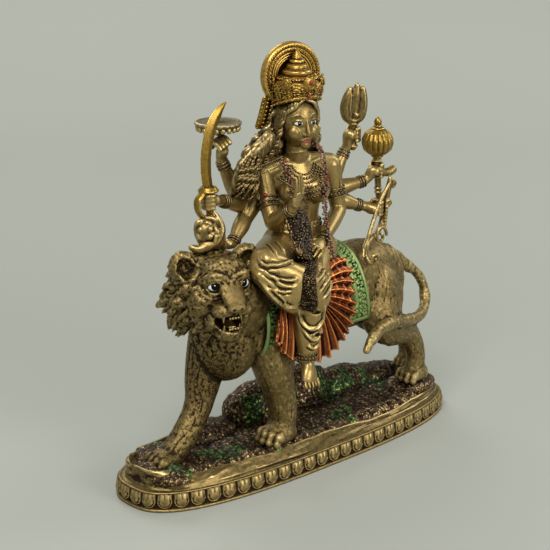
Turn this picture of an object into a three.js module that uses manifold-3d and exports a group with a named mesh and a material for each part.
// A many-armed goddess seated sideways on a walking lion, cast in one piece with an oval lotus plinth.
// Millimetres, +Z up. The lion walks towards -X and the goddess faces -Y.
// The origin is the middle of the plinth's underside.
import * as THREE from "three";
import { mergeVertices } from "three/addons/utils/BufferGeometryUtils.js";
import Module from "manifold-3d";

const wasm = await Module();
wasm.setup();

// Driving dimensions of the plinth
const PLINTH_LENGTH = 203;
const PLINTH_WIDTH = 65;
const OVAL_POWER = 2.8; // 2 is an ellipse, more is squarer
const FOOT_HEIGHT = 1.8; // plain fillet under the petals
const PETAL_HEIGHT = 6.6;
const PETAL_COUNT = 58;
const PETAL_DEPTH = 1.3; // how far a petal stands off its wall
const LIP_HEIGHT = 1.1; // thin moulding over the petals
const COVE_HEIGHT = 5.5; // hollow between the moulding and the ground
const WALL_INSET = 2.4; // the petals' wall, in from the foot
const COVE_INSET = 7.4;
const GROUND_INSET = 6.6;

// Driving dimension of the figure, from the ground to the top of the crown's arch. The pose below is
// written for the modelled height and scaled by FIGURE_HEIGHT / MODELLED_HEIGHT.
const FIGURE_HEIGHT = 184;
const MODELLED_HEIGHT = 184;

const SHORTEST_EDGE = 0.06; // slivers that the joins leave are closed up below this

const WALL_TOP = FOOT_HEIGHT + PETAL_HEIGHT;
const LIP_TOP = WALL_TOP + LIP_HEIGHT;
const GROUND = LIP_TOP + COVE_HEIGHT + 1;

// Vector helpers on [x, y, z] lists
const add = (a, b) => a.map((v, i) => v + b[i]);
const times = (a, k) => a.map((v) => v * k);
const mix = (a, b, t) => a.map((v, i) => v * (1 - t) + b[i] * t);
const lerp = (a, b, t) => a * (1 - t) + b * t;
const clamp01 = (t) => Math.min(1, Math.max(0, t));
const sum = (...lists) => lists.reduce(add);

// A local frame that stands upright and faces the heading given in degrees from -Y, positive towards +X.
// at(side, forward, rise) is a point: side is to the figure's own left.
function facing(origin, headingDeg) {
  const h = THREE.MathUtils.degToRad(headingDeg);
  const left = [Math.cos(h), Math.sin(h), 0];
  const forward = [Math.sin(h), -Math.cos(h), 0];
  const at = (side, ahead, rise) => sum(origin, times(left, side), times(forward, ahead), [0, 0, rise]);
  return { left, forward, at, turn: [0, 0, h] };
}

// A closed three.js geometry as a manifold solid
function solidOf(geometry) {
  const bare = geometry.clone();
  for (const name of Object.keys(bare.attributes)) if (name !== "position") bare.deleteAttribute(name);
  const merged = mergeVertices(bare, 1e-4);
  return new wasm.Manifold(
    new wasm.Mesh({
      numProp: 3,
      vertProperties: merged.attributes.position.array,
      triVerts: new Uint32Array(merged.index.array),
    }),
  );
}

// The same for a piece of the figure: scaled to its height and stood on the ground
function figureSolid(geometry) {
  const share = FIGURE_HEIGHT / MODELLED_HEIGHT;
  return solidOf(geometry.clone().scale(share, share, share).translate(0, 0, GROUND));
}

const join = (solids) => wasm.Manifold.union(solids);

function triangles(positions, index) {
  const geometry = new THREE.BufferGeometry();
  geometry.setAttribute("position", new THREE.Float32BufferAttribute(positions.flat(), 3));
  geometry.setIndex(index);
  return geometry;
}

// A stack of closed rings of equal count, capped at both ends by its first and last point
function stack(rings, bottom, top) {
  const n = rings[0].length;
  const positions = [bottom, ...rings.flat(), top];
  const last = positions.length - 1;
  const index = [];
  for (let i = 0; i < n; i++) {
    const j = (i + 1) % n;
    index.push(0, 1 + j, 1 + i);
    for (let r = 0; r + 1 < rings.length; r++) {
      const a = 1 + r * n;
      const b = a + n;
      index.push(a + i, a + j, b + j, a + i, b + j, b + i);
    }
    const t = 1 + (rings.length - 1) * n;
    index.push(last, t + i, t + j);
  }
  return triangles(positions, index);
}

// An ellipsoid with half-axes radii, turned by [x, y, z] radians
function ball(centre, radii, turn = [0, 0, 0], around = 7, down = 5) {
  const r = Array.isArray(radii) ? radii : [radii, radii, radii];
  const geometry = new THREE.SphereGeometry(1, around, down);
  geometry.rotateX(Math.PI / 2);
  geometry.scale(...r);
  geometry.applyMatrix4(new THREE.Matrix4().makeRotationFromEuler(new THREE.Euler(...turn, "ZYX")));
  geometry.translate(...centre);
  return geometry;
}

// A limb: a smooth tube through the points, with one radius or [across, along reference] at each point.
// The second radius lies towards the reference direction, and flute deepens every second side.
function limb(points, radii, { sides = 6, steps = 1, reference = [0, 0, 1], caps = 0.6, flute = 0 } = {}) {
  const curve = new THREE.CatmullRomCurve3(
    points.map((p) => new THREE.Vector3(...p)),
    false,
    "centripetal",
  );
  const pair = (r) => (Array.isArray(r) ? r : [r, r]);
  const spans = points.length - 1;
  const count = spans * steps;
  const ref = new THREE.Vector3(...reference);
  const stations = [];
  for (let i = 0; i <= count; i++) {
    const k = Math.min(spans - 1, Math.floor(i / steps));
    const radius = mix(pair(radii[k]), pair(radii[k + 1]), i / steps - k);
    stations.push({ at: curve.getPoint(i / count), along: curve.getTangent(i / count), radius });
  }
  const ring = (station) => {
    const side = new THREE.Vector3().crossVectors(station.along, ref).normalize();
    const rise = new THREE.Vector3().crossVectors(side, station.along).normalize();
    const ringPoints = [];
    for (let i = 0; i < sides; i++) {
      const a = ((i + 0.5) / sides) * 2 * Math.PI;
      const share = i % 2 ? 1 - flute : 1;
      const p = station.at
        .clone()
        .addScaledVector(side, Math.cos(a) * station.radius[0] * share)
        .addScaledVector(rise, -Math.sin(a) * station.radius[1] * share);
      ringPoints.push(p.toArray());
    }
    return ringPoints;
  };
  const pole = (station, sign) =>
    station.at
      .clone()
      .addScaledVector(station.along, sign * caps * Math.min(...station.radius))
      .toArray();
  return stack(stations.map(ring), pole(stations[0], -1), pole(stations[count], 1));
}

// A short pointed form, such as a finger, a toe or a brow: thickest at the middle point
function spindle(root, middle, tip, thick, reference = [0.31, 0.2, 0.93], sides = 4) {
  const along = new THREE.Vector3(...tip).sub(new THREE.Vector3(...root)).normalize();
  const side = new THREE.Vector3().crossVectors(along, new THREE.Vector3(...reference)).normalize();
  const rise = new THREE.Vector3().crossVectors(side, along).normalize();
  const ring = [];
  for (let i = 0; i < sides; i++) {
    const a = ((i + 0.5) / sides) * 2 * Math.PI;
    const p = new THREE.Vector3(...middle)
      .addScaledVector(side, Math.cos(a) * thick)
      .addScaledVector(rise, -Math.sin(a) * thick);
    ring.push(p.toArray());
  }
  return stack([ring], root, tip);
}

// A plinth outline: points at equal steps along a squared ellipse, set in by inset
function oval(inset, count, z, ripple = () => 0) {
  const fine = 4000;
  const a = PLINTH_LENGTH / 2 - inset;
  const b = PLINTH_WIDTH / 2 - inset;
  const power = 2 / OVAL_POWER;
  const along = (v) => Math.sign(v) * Math.abs(v) ** power;
  const track = [];
  let length = 0;
  for (let i = 0; i <= fine; i++) {
    const t = (i / fine) * 2 * Math.PI;
    const p = [a * along(Math.cos(t)), b * along(Math.sin(t))];
    if (i) length += Math.hypot(p[0] - track[i - 1].p[0], p[1] - track[i - 1].p[1]);
    track.push({ p, length });
  }
  const points = [];
  let k = 0;
  for (let i = 0; i < count; i++) {
    const want = ((i + 0.5) / count) * length;
    while (track[k + 1].length < want) k++;
    const t = (want - track[k].length) / (track[k + 1].length - track[k].length);
    const [x, y] = mix(track[k].p, track[k + 1].p, t);
    const share = 1 + ripple(i);
    points.push([x * share, y * share, z]);
  }
  return points;
}

// Foot of the plinth: a plain round edge
function foot() {
  const n = 36;
  return stack([oval(0.8, n, 0), oval(0, n, 1), oval(0.4, n, FOOT_HEIGHT)], [0, 0, 0], [0, 0, FOOT_HEIGHT]);
}

// Wall of lotus petals: each stands off the wall between two gaps and has a round foot
function petalWall() {
  const columns = PETAL_COUNT * 3; // a gap and a petal's two shoulders
  const row = (z, gapInset, petalInset) => {
    const gap = oval(gapInset, columns, z);
    const face = oval(petalInset, columns, z);
    return gap.map((p, i) => (i % 3 ? face[i] : p));
  };
  const rows = [
    row(FOOT_HEIGHT - 0.9, WALL_INSET + 1, WALL_INSET + 1),
    row(FOOT_HEIGHT + 0.25 * PETAL_HEIGHT, WALL_INSET, WALL_INSET - PETAL_DEPTH),
    row(WALL_TOP, WALL_INSET, WALL_INSET - 0.7 * PETAL_DEPTH),
  ];
  return stack(rows, [0, 0, FOOT_HEIGHT - 0.9], [0, 0, WALL_TOP]);
}

// Lip, cove and the broken edge of the ground
function ground() {
  const n = 36;
  const rough = (i, k) => 0.5 * Math.sin(i * 1.7 + k) + 0.5 * Math.sin(i * 0.9 + 2.1 * k);
  const rows = [
    oval(COVE_INSET, n, WALL_TOP - 0.8),
    oval(WALL_INSET - PETAL_DEPTH, n, WALL_TOP + 0.3),
    oval(WALL_INSET - PETAL_DEPTH, n, LIP_TOP),
    oval(COVE_INSET, n, LIP_TOP + 1.2, (i) => 0.004 * rough(i, 3)),
    oval(GROUND_INSET, n, GROUND - 2.6, (i) => 0.008 * rough(i, 1)),
    oval(GROUND_INSET + 3, n, GROUND, (i) => 0.01 * rough(i, 2)),
  ];
  return stack(rows, [0, 0, WALL_TOP - 0.8], [0, 0, GROUND + 1]);
}

const rocks = [
  { at: [-8, 13, 4], size: [22, 12, 15] },
  { at: [24, 13, 1], size: [34, 11, 6.5] },
  { at: [62, 12, 0], size: [24, 11, 5.5] },
  { at: [-46, 12, 0], size: [18, 11, 5] },
].map((rock, i) => ball(rock.at, rock.size, [0.1 * Math.sin(i), 0.1 * Math.cos(2 * i), 0.25 * Math.sin(3 * i)], 7, 4));

// Lion
const LION_SPINE = [[70, 1, 58.5], [57, 1, 59], [30, 0, 59.2], [6, 0, 57.5], [-16, 0, 57], [-38, -1, 60]];
const LION_GIRTH = [[11, 16], [17, 21.6], [17, 21.6], [18, 20], [19.5, 21], [17, 19]]; // across, up
const lionHead = facing([-56, -11, 80], -13);

function lionBody() {
  return [
    limb(LION_SPINE, LION_GIRTH, { sides: 10 }),
    limb([[-34, -1, 62], [-45, -5, 72], lionHead.at(0, -4, 0)], [18, 19, 16], { sides: 9 }),
    ball([-44, -2, 50], [15, 16, 19], [0, 0.3, 0], 8, 5),
  ];
}

// A paw that points along the heading, its toes as ridges
function lionPaw(at, heading, size) {
  const paw = facing(at, heading);
  return limb([paw.at(0, -size * 0.5, 0), paw.at(0, size * 0.5, 0.5), paw.at(0, size * 1.2, -0.8)],
    [[size * 0.8, size * 0.7], [size, size * 0.72], [size * 0.8, size * 0.46]], { sides: 10, caps: 0.4, flute: 0.16 });
}

function lionLegs() {
  const tilt = { sides: 7, reference: [1, 0, 0] };
  return [
    limb([[-26, -10, 52], [-25, -14, 36], [-22, -16, 22], [-20, -16, 9], [-22, -16, 4]],
      [[11, 11], [10, 9.5], [7.5, 7.5], [6.5, 6.8], [6.5, 7]], tilt),
    lionPaw([-26, -18, 2.4], -85, 10),
    limb([[-46, 4, 52], [-52, 4, 34], [-58, 2, 19], [-69, 0, 7], [-76, -1, 2]],
      [[11, 12], [9, 9.5], [6.6, 7], [6.2, 6.4], [6, 6]], tilt),
    lionPaw([-82, -1.5, 0.8], -93, 9),
    limb([[57, -8, 56], [52, -13, 44], [55, -15, 35], [70, -14, 26], [73, -15, 16], [71, -17, 6]],
      [[11, 17], [10, 14], [8, 11], [5.2, 6.2], [4.6, 5.2], [5.2, 6]], tilt),
    lionPaw([66, -18, 4.2], -88, 8),
    limb([[60, 8, 54], [60, 12, 42], [66, 12, 33], [84, 10, 24], [87, 8, 14], [86, 6, 6]],
      [[11, 15], [10, 12], [7, 9], [5, 6], [4.6, 5], [5, 6]], tilt),
    lionPaw([80, 4, 4.2], -88, 7.6),
  ];
}

const TAIL = [[70, 2, 67], [81, 1, 62], [87, -3, 52], [88, -7, 43], [84, -13, 36],
  [75, -19, 34], [60, -25, 37], [44, -27, 41], [32, -28, 40], [22, -29, 34]];

function lionTail() {
  return limb(TAIL, [5, 3.6, 3, 2.9, 3, 3.4, 3.6, 3.4, 3.2, 2.2], { sides: 5, reference: [0.2, 1, 0.3] });
}

function lionFace() {
  const h = lionHead;
  const t = h.turn;
  const pairs = [-1, 1].flatMap((s) => [
    ball(h.at(s * 4.4, 15, -4.5), [5.6, 7.4, 5], t, 6, 4),
    ball(h.at(s * 7.2, 12.6, 6), 2.3, t, 6, 4),
  ]);
  return [
    ball(h.at(0, 1, 2), [15.5, 15, 15], t, 9, 6),
    limb([h.at(0, 8, 8), h.at(0, 16, 4), h.at(0, 21.5, 0)], [[7, 4.5], [4.8, 3.6], [4, 2.8]], { sides: 6 }),
    ball(h.at(0, 22.4, -0.6), [3.4, 2.2, 2.2], t, 6, 4),
    ball(h.at(0, 12, -16), [6, 7, 4.4], t, 7, 4),
    ...pairs,
  ];
}

function lionEars() {
  const h = lionHead;
  return [-1, 1].map((s) => ({
    shell: ball(h.at(s * 15.2, -3, 12), [7, 4.4, 7.4], [0, s * 0.35, h.turn[2]], 7, 4),
    hollow: ball(h.at(s * 15.5, 1.8, 12.3), [4.6, 4, 5], [0, s * 0.35, h.turn[2]], 6, 4),
  }));
}

// The mane: rows of pointed locks, fanned round the face, then the neck and the chest.
// Each row is one solid whose edge runs out to a lock's tip and back in between two locks.
const MANE_ROWS = [
  { locks: 11, ahead: 8, root: 13, tip: 19.5, sweep: 9, drop: 3 },
  { locks: 11, ahead: 0, root: 16, tip: 21.5, sweep: 10, drop: 6 },
  { locks: 11, ahead: -9, root: 17, tip: 21.5, sweep: 12, drop: 10 },
];

function mane() {
  const h = lionHead;
  return MANE_ROWS.map((row, r) => {
    const n = row.locks * 2;
    const ring = (radius, notch, ahead, drop) =>
      Array.from({ length: n }, (_, i) => {
        const turn = ((i + r) / n) * 2 * Math.PI;
        const low = Math.cos(turn) < -0.2 ? 1.14 : 1;
        const reach = (i % 2 ? radius - notch : radius) * low * (1 + 0.05 * Math.sin(i * 2.3 + r));
        return h.at(-Math.sin(turn) * reach, ahead, Math.cos(turn) * reach - drop);
      });
    const front = ring(row.root, 1.5, row.ahead, 0);
    const back = ring(row.tip, 4.5, row.ahead - row.sweep, row.drop);
    return stack([back, front], h.at(0, row.ahead - row.sweep, -row.drop), h.at(0, row.ahead, 0));
  });
}

// Goddess
const SEAT = facing([4, 1, 84], -15);
const HEAD = facing([1, -2.2, 147], -13);

const shoulder = (s) => SEAT.at(s * 18.5, 0, 40.5);

function torso() {
  const column = [-4, 6, 15, 24, 33, 41, 46].map((z) => SEAT.at(0, z > 30 ? 0.5 : 0, z));
  const girth = [[17, 15], [17, 13.5], [12, 9.5], [12.5, 10], [15.5, 11], [15, 8.5], [7, 6]];
  const across = [shoulder(-1), SEAT.at(0, 0, 43), shoulder(1)];
  return [
    limb(column, girth, { sides: 10, reference: SEAT.forward }),
    limb(across, [[5, 5.4], [7, 6], [5, 5.4]], { sides: 6 }),
    ball(SEAT.at(-7, 8.5, 31), [6.6, 6, 6.6]),
    ball(SEAT.at(7, 8.5, 31), [6.6, 6, 6.6]),
    limb([SEAT.at(0, -0.5, 42), HEAD.at(0, 1, -6)], [[6, 6], [5.2, 5.2]], { reference: SEAT.forward }),
  ];
}

function headOf() {
  const h = HEAD;
  const t = h.turn;
  return [
    ball(h.at(0, 0, 3), [9.6, 10.6, 11], t, 9, 6),
    ball(h.at(0, 3.4, -3), [7.8, 7, 9], t, 8, 5),
    ball(h.at(0, 9, -8.6), [2.8, 2.4, 2.6], t, 5, 4),
    spindle(h.at(0, 9.4, 2), h.at(0, 11.4, -3), h.at(0, 9.6, -4), 1.6),
    ...[-1, 1].flatMap((s) => [
      spindle(h.at(s * 9, 0, 3), h.at(s * 10.4, 0, -1), h.at(s * 10, 1.5, -5), 2.4),
      spindle(h.at(s * 10, 1, -3.5), h.at(s * 10.4, 1.8, -8), h.at(s * 10, 2, -11), 2),
    ]),
  ];
}

// Crown: a diadem band, three medallions, a tiered cone and a round arch with a raised rim behind it
const ARCH_RADIUS = 15.6;

// A round plate that stands upright, turned out of a profile of [radius, depth] points
function uprightDisc(profile, segments, centre, turn) {
  const disc = new THREE.LatheGeometry(profile.map(([r, y]) => new THREE.Vector2(r, y)), segments);
  disc.rotateX(Math.PI);
  disc.rotateZ(turn);
  disc.translate(...centre);
  return disc;
}

function crown() {
  const h = HEAD;
  const tiers = [[0, 0], [10.8, 0], [11.8, 8], [9.6, 10], [9, 14.5], [6.8, 16], [6, 20], [3, 23.5], [0, 26]];
  const cone = new THREE.LatheGeometry(tiers.map(([r, z]) => new THREE.Vector2(r, z)), 11);
  cone.rotateX(Math.PI / 2);
  cone.translate(...h.at(0, 0.5, 8));
  const inner = ARCH_RADIUS - 3;
  const arch = uprightDisc(
    [[0, -2.5], [ARCH_RADIUS - 1, -2.5], [ARCH_RADIUS, 0], [ARCH_RADIUS - 1, 2.5], [inner, 2.5], [inner, 1], [0, 1]],
    18,
    h.at(-0.6, -4.5, 37.6 - ARCH_RADIUS),
    h.turn[2],
  );
  const medallion = ball(h.at(0, 12.4, 15), [4.4, 1.8, 5], h.turn, 6, 4);
  const flaps = [-1, 1].map((s) =>
    limb([h.at(s * 11.5, -5, 12), h.at(s * 12.5, -7, 4), h.at(s * 13, -8.5, -1)], [[2, 3.4], [2, 4], [2.2, 4.4]], {
      sides: 4,
      reference: h.forward,
      caps: 0.3,
    }),
  );
  return [cone, arch, medallion, ...flaps];
}

// Hair: a cap over the skull and a fall of long locks down the back
function hair() {
  const h = HEAD;
  const fall = [h.at(0, -5, 4), h.at(-3, -7, -8), h.at(-5.5, -9, -20), SEAT.at(-6, -15, 24), SEAT.at(-5, -15, 11)];
  const spread = [[9, 5], [16, 5.5], [21, 5.5], [21, 5], [15, 3]];
  return [
    ball(h.at(0, -3, 1), [11.4, 9, 12.5], h.turn, 8, 5),
    limb(fall, spread, { sides: 16, reference: [0, -1, 0.1], flute: 0.28 }),
  ];
}

// Arms. Each is given by its shoulder, elbow, wrist and palm, and tapers along its length.
const ARMS = {
  blessing: [shoulder(-1), [-18, -7, 103], [-15.5, -22, 112], [-14.5, -24, 117]],
  resting: [shoulder(1), [25, -7, 102], [4, -20, 95], [-3, -25, 91]],
  disc: [SEAT.at(-17, -4, 39), [-21, 14, 112], [-31, 14, 131], [-32.5, 13.5, 138]],
  sword: [SEAT.at(-17, -3, 36), [-21, 10, 109], [-40, 3.5, 115.5], [-50.5, 0, 118]],
  conch: [SEAT.at(-17, -1, 33), [-24, 6, 104], [-36.5, 0.5, 95.5], [-46, -2.5, 96.5]],
  trident: [SEAT.at(17, -4, 39), [38, 13, 108], [49, 12, 120], [51.5, 10, 128.5]],
  mace: [SEAT.at(17, -2, 36), [37, 9, 107], [53.5, 4, 109.5], [59, 2, 114]],
  bow: [SEAT.at(17, -1, 33), [36, 6, 103], [48, 0.5, 98.5], [53, -3.5, 98.5]],
};

function arm([top, elbow, wrist, palm]) {
  const forearm = (t) => mix(elbow, wrist, t);
  const knuckles = add(palm, times(add(palm, times(wrist, -1)), 0.5));
  return limb([top, elbow, forearm(0.35), forearm(0.8), forearm(0.9), palm, knuckles],
    [5.2, 4, 4.1, 3, 3.9, 3.5, 2.8], { reference: [0.3, 0.2, 0.9] });
}

function arms() {
  const blessed = ARMS.blessing[3];
  const rest = ARMS.resting[3];
  const spread = [-1.5, -0.5, 0.5, 1.5];
  const raised = spread.map((k) => {
    const finger = (rise) => sum(blessed, times(SEAT.left, k * (1.5 + 0.05 * rise)), [0, -0.12 * rise, rise]);
    return spindle(finger(0), finger(5), finger(10 - 0.6 * k * k), 1.4, [0, 1, 0]);
  });
  const laid = spread.map((k) => {
    const foot = sum(rest, [k * 1.5 - 1, -1.5, 0]);
    return spindle(foot, add(foot, [-1, -2, -4]), add(foot, [-2.5, -2.5, -8]), 1.4, [1, 0, 0]);
  });
  const thumb = spindle(add(blessed, [2, -1, -1]), add(blessed, [4.2, -2, 2]), add(blessed, [4.6, -3, 5]), 1.4, [0, 1, 0]);
  return [...Object.values(ARMS).map(arm), ...raised, ...laid, thumb];
}

// What the hands hold
function sword() {
  const grip = ARMS.sword[3];
  const up = (x, z) => add(grip, [x, 0, z]);
  const spine = [[up(0.2, -10), 2.4], [up(0, -6), 1.7], [up(-0.4, 4), 1.8], [up(-0.6, 5.2), 5], [up(-0.8, 6.4), 1.8],
    [up(-2, 14), [1.5, 3]], [up(-1.4, 25), [1.5, 3.3]], [up(2, 35), [1.5, 3.2]], [up(10.6, 44), 0.6]];
  const knuckleBow = limb([up(-4.2, 4.6), up(-7.6, 1), up(-6.6, -4), up(-1, -7)],
    [[1.4, 2.2], [1.4, 2.4], [1.4, 2.4], [1.6, 2.2]], { sides: 4, reference: [0, 1, 0] });
  return [limb(spine.map(([p]) => p), spine.map(([, r]) => r), { reference: [-1, 0, 0.2], caps: 0.3 }), knuckleBow];
}

// A wheel with a scalloped edge that lies flat on the raised fingers
const DISC_LOBES = 14;

function disc() {
  const palm = ARMS.disc[3];
  const centre = add(palm, [-0.5, 0.5, 11]);
  const edge = Array.from({ length: DISC_LOBES * 2 }, (_, i) => {
    const a = (i / (DISC_LOBES * 2)) * 2 * Math.PI;
    const r = i % 2 ? 9.8 : 11;
    return [r * Math.cos(a), r * Math.sin(a)];
  });
  const at = (share, z) => edge.map(([x, y]) => add(centre, [x * share, y * share, z]));
  return stack([at(0.96, -1.6), at(1, 1.1)], add(centre, [0, 0, -9]), add(centre, [0, 0, 2.4]));
}

function conch() {
  const at = add(ARMS.conch[3], [-8.5, 0, 8.5]);
  return [
    ball(at, [8, 6.4, 6.6], [0, 0.4, 0.5], 8, 5),
    limb([add(at, [3, 1, -5]), add(at, [-6, -2, -6]), add(at, [-10.5, -3, -6])], [4, 2.8, 1.4], { sides: 5 }),
    spindle(add(at, [3, 2, 0]), add(at, [4.4, 2, 5]), add(at, [2.5, 1, 10]), 2.4, [1, 0, 0]),
  ];
}

function trident() {
  const grip = ARMS.trident[3];
  const at = (x, z) => add(grip, [x * 0.72, -x * 0.4, z + 2.5]);
  const flat = { sides: 4, reference: [0.5, 0.86, 0], caps: 0.4 };
  const prong = (s) =>
    limb([at(0, 6), at(s * 4.4, 8), at(s * 6, 14), at(s * 4.8, 22), at(s * 4.2, 27)],
      [[1.8, 2.6], [2, 2.6], [2.2, 2.6], [1.8, 2.2], [0.7, 0.8]], flat);
  const shaft = [[0, -7, 1.9], [0, 6, 1.9], [0, 14, 1.9], [0, 24, 2.2], [0, 29, 0.8]];
  return [prong(-1), prong(1), limb(shaft.map(([x, z]) => at(x, z)), shaft.map((p) => p[2]), flat)];
}

// A mace with a ribbed ball head and a finial
const MACE_RIBS = 8;

function mace() {
  const grip = ARMS.mace[3];
  const up = (z) => add(grip, [lerp(-1, 2, clamp01((z + 10) / 28)), 0, z]);
  const head = add(up(17), [0, 0, -2.6]);
  const rings = [[0.5, -6.4], [0.95, -2.6], [0.95, 2.4], [0.45, 6.2]].map(([share, z]) =>
    Array.from({ length: MACE_RIBS * 2 }, (_, i) => {
      const a = (i / (MACE_RIBS * 2)) * 2 * Math.PI;
      const r = 7.9 * share * (i % 2 ? 0.9 : 1);
      return add(head, [r * Math.cos(a), r * Math.sin(a), z]);
    }),
  );
  return [
    stack(rings, add(head, [0, 0, -7.6]), add(head, [0, 0, 8])),
    limb([up(-12), up(2), up(9), up(12)], [1.7, 1.8, 3, 2.3], { sides: 5, reference: [1, 0, 0] }),
    spindle(add(head, [0, 0, 5]), add(head, [0, 0, 9]), add(head, [0, 0, 13]), 2.4, [1, 0, 0]),
  ];
}

function bowAndString() {
  const grip = ARMS.bow[3];
  const at = (x, z) => add(grip, [x, -x * 0.3, z]);
  const flat = { sides: 4, reference: [0.3, 1, 0] };
  // its lower end curls on the lion's flank
  const low = [[53.4, -6.1, 85.3], [46.2, -8, 82.6], [41, -10.8, 80.8], [38.4, -12.8, 77.2], [39.3, -14.6, 74], [42.4, -14.9, 73.3]];
  return [
    limb([at(5.4, 12.5), at(4, 10), at(5.5, 5), at(3.4, -3), at(4, -9), ...low],
      [2, 1.6, 1.7, 1.8, 1.7, 1.7, 1.6, 1.6, 1.6, 1.5, 1], flat),
    limb([at(4.4, 9.5), at(0.6, -6), low[2]], [1, 1, 1], { sides: 3, reference: [0.3, 1, 0] }),
  ];
}

// Legs, the wrapped cloth over them and the pleated fan of the skirt
const KNEE_RIGHT = [-41, -27, 93];
const KNEE_LEFT = [-20, -33, 77];
const ANKLE_LEFT = [-18, -30, 43];

function legs() {
  const hip = (s) => SEAT.at(s * 9, 2, 1);
  const shin = (t) => mix(KNEE_LEFT, ANKLE_LEFT, t);
  const down = [0, -1, 0];
  return [
    limb([hip(-1), mix(hip(-1), KNEE_RIGHT, 0.5), KNEE_RIGHT], [[12, 10], [10.5, 9], [7.5, 7]], { sides: 7 }),
    limb([KNEE_RIGHT, [-27, -35, 84], [-13, -36, 80]], [7, 6, 4]),
    limb([hip(1), mix(hip(1), KNEE_LEFT, 0.5), KNEE_LEFT], [[12, 10], [10, 9.5], [7.4, 7.4]], { sides: 7 }),
    limb([shin(0), shin(0.2), shin(0.4), shin(0.6), shin(1)], [7, 8, 6.8, 7.2, 4], { sides: 7, reference: down }),
    limb([shin(1), [-19, -32.5, 37], [-20.5, -35.5, 31.5]], [[3.4, 3.4], [4, 2.8], [3.6, 2]], { reference: down }),
    limb([[-13, -36, 81], [-8, -36.5, 75], [-5, -36, 68]], [[3.6, 3], [3.8, 2.8], [2.6, 1.8]], { reference: down }),
    // cloth that sags in folds from the bent knee to the hanging one
    limb([add(KNEE_RIGHT, [1, -1, -3]), [-29, -34, 78], [-14, -36, 68]], [[7, 6], [8, 12], [6, 10]], { sides: 10, flute: 0.14 }),
  ];
}

// Pleats spread over the lion's flank: a fan of radial folds from the knee to a hem
const FAN_PIVOT = [-10, -20, 80];
const FAN_FOLDS = 11;

function pleatedFan() {
  const hem = (t) => {
    // t runs from the hem's low corner by the lion's shoulder round to its high corner behind
    const angle = THREE.MathUtils.degToRad(lerp(-128, 22, t));
    const reach = lerp(34, 40, Math.sin(Math.min(1, t * 3) * Math.PI * 0.5)) - 16 * clamp01((t - 0.35) / 0.65);
    return [FAN_PIVOT[0] + reach * Math.cos(angle), FAN_PIVOT[2] + reach * Math.sin(angle)];
  };
  const columns = FAN_FOLDS * 2 + 1;
  const shares = [0, 0.55, 1];
  const front = shares.map((share) =>
    Array.from({ length: columns }, (_, i) => {
      const [x, z] = hem(i / (columns - 1));
      const fold = (i % 2 ? 1 : -1) * lerp(0.2, 1.5, share);
      const depth = -27 - 3.2 * Math.sin(share * Math.PI * 0.6) + fold + 4 * clamp01((z - 80) / 20) * share;
      return [lerp(FAN_PIVOT[0], x, lerp(0.12, 1, share)), depth, lerp(FAN_PIVOT[2], z, lerp(0.12, 1, share))];
    }),
  );
  const back = front.map((row) => row.map((p) => [p[0], -14, p[2]]));
  const outline = (rows) => [...rows[0], ...rows.slice(1, -1).map((r) => r.at(-1)), ...[...rows.at(-1)].reverse(), ...rows.slice(1, -1).reverse().map((r) => r[0])];
  const positions = [...front.flat(), ...back.flat()];
  const n = columns;
  const m = shares.length;
  const index = [];
  const f = (r, c) => r * n + c;
  const b = (r, c) => m * n + r * n + c;
  for (let r = 0; r + 1 < m; r++) {
    for (let c = 0; c + 1 < n; c++) {
      index.push(f(r, c), f(r + 1, c), f(r + 1, c + 1), f(r, c), f(r + 1, c + 1), f(r, c + 1));
      index.push(b(r, c), b(r + 1, c + 1), b(r + 1, c), b(r, c), b(r, c + 1), b(r + 1, c + 1));
    }
  }
  const edge = (p, q, side) => {
    const [fa, fb, ba, bb] = [f(...p), f(...q), b(...p), b(...q)];
    if (side) index.push(fa, ba, bb, fa, bb, fb);
    else index.push(fa, bb, ba, fa, fb, bb);
  };
  for (let c = 0; c + 1 < n; c++) {
    edge([0, c], [0, c + 1], false);
    edge([m - 1, c], [m - 1, c + 1], true);
  }
  for (let r = 0; r + 1 < m; r++) {
    edge([r, 0], [r + 1, 0], true);
    edge([r, n - 1], [r + 1, n - 1], false);
  }
  return triangles(positions, index);
}

// Saddle cloth: a shell over the lion's back, cut square
function saddleCloth() {
  const shell = (more) =>
    figureSolid(limb(LION_SPINE, LION_GIRTH.map(([a, b]) => [a + more, b + more]), { sides: 10 }));
  const box = (x0, x1, z0, z1) =>
    figureSolid(new THREE.BoxGeometry(x1 - x0, 60, z1 - z0).translate((x0 + x1) / 2, 0, (z0 + z1) / 2));
  return shell(2.2).intersect(box(-36, 32, 49, 90));
}

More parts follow.
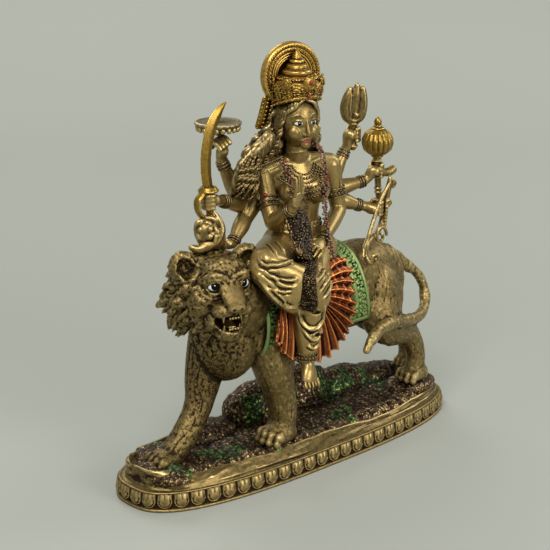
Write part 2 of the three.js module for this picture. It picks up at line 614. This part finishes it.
// Garland: two strands of blossoms that join over the knees, a necklace and a pendant
function garland() {
  const thick = [1.8, 2, 2, 2.2, 2.4, 3];
  const rope = { sides: 4, reference: [0.9, 0.1, 0.3] };
  const strand = (s, lap) => limb([SEAT.at(s * 10, 3, 46), SEAT.at(s * 9.5, 11.5, 36), SEAT.at(s * 7, 13.5, 24), ...lap], thick, rope);
  return [
    strand(1, [[3, -17, 96], [-9, -33, 85], [-15, -40, 70]]),
    strand(-1, [[-4, -17, 97], [-14, -33, 87], [-16, -40, 70]]),
    ball([-16, -39.5, 70], [4.4, 3.4, 4.6], [0, 0, 0], 6, 4),
    limb([SEAT.at(-7, 5, 44), SEAT.at(0, 12, 38), SEAT.at(7, 5, 44)], [[1.4, 1.8], [1.6, 2.8], [1.4, 1.8]], { sides: 4 }),
    limb([[-17, -26, 84], [-8, -28, 86], [2, -26, 90]], [[7, 5], [7, 6], [6, 5]]),
  ];
}

function statue() {
  const figure = [
    ...rocks,
    ...lionBody(),
    ...lionLegs(),
    lionTail(),
    ...lionFace(),
    ...lionEars().map((ear) => ear.shell),
    ...mane(),
    ...torso(),
    ...headOf(),
    ...crown(),
    ...hair(),
    ...arms(),
    ...sword(),
    disc(),
    ...conch(),
    ...trident(),
    ...mace(),
    ...bowAndString(),
    ...legs(),
    pleatedFan(),
    ...garland(),
  ].map(figureSolid);
  const base = [foot(), petalWall(), ground()].map(solidOf);
  const mouth = figureSolid(ball(lionHead.at(0, 20, -11.4), [6, 9, 3.4], lionHead.turn));
  const hollows = lionEars().map((ear) => figureSolid(ear.hollow));
  return castSolid(join([...base, ...figure, saddleCloth()]).subtract(join([mouth, ...hollows])));
}

// The casting is solid: closed pockets between its parts are filled by leaving out their inward shells
function castSolid(solid) {
  const shells = solid.decompose().filter((shell) => shell.volume() > 0);
  shells.sort((a, b) => b.volume() - a.volume());
  return shells[0].simplify(SHORTEST_EDGE);
}

function meshOf(solid, name, material) {
  const { numProp, vertProperties, triVerts } = solid.getMesh();
  const positions = [];
  for (let i = 0; i < vertProperties.length; i += numProp) {
    positions.push([vertProperties[i], vertProperties[i + 1], vertProperties[i + 2]]);
  }
  const mesh = new THREE.Mesh(triangles(positions, [...triVerts]), material);
  mesh.name = name;
  return mesh;
}

const bronze = new THREE.MeshStandardMaterial({ color: 0x8a7044, roughness: 0.42, metalness: 0.75 });

const group = new THREE.Group();
const body = statue();
group.add(meshOf(body, "durga_figure", bronze));
export default group;
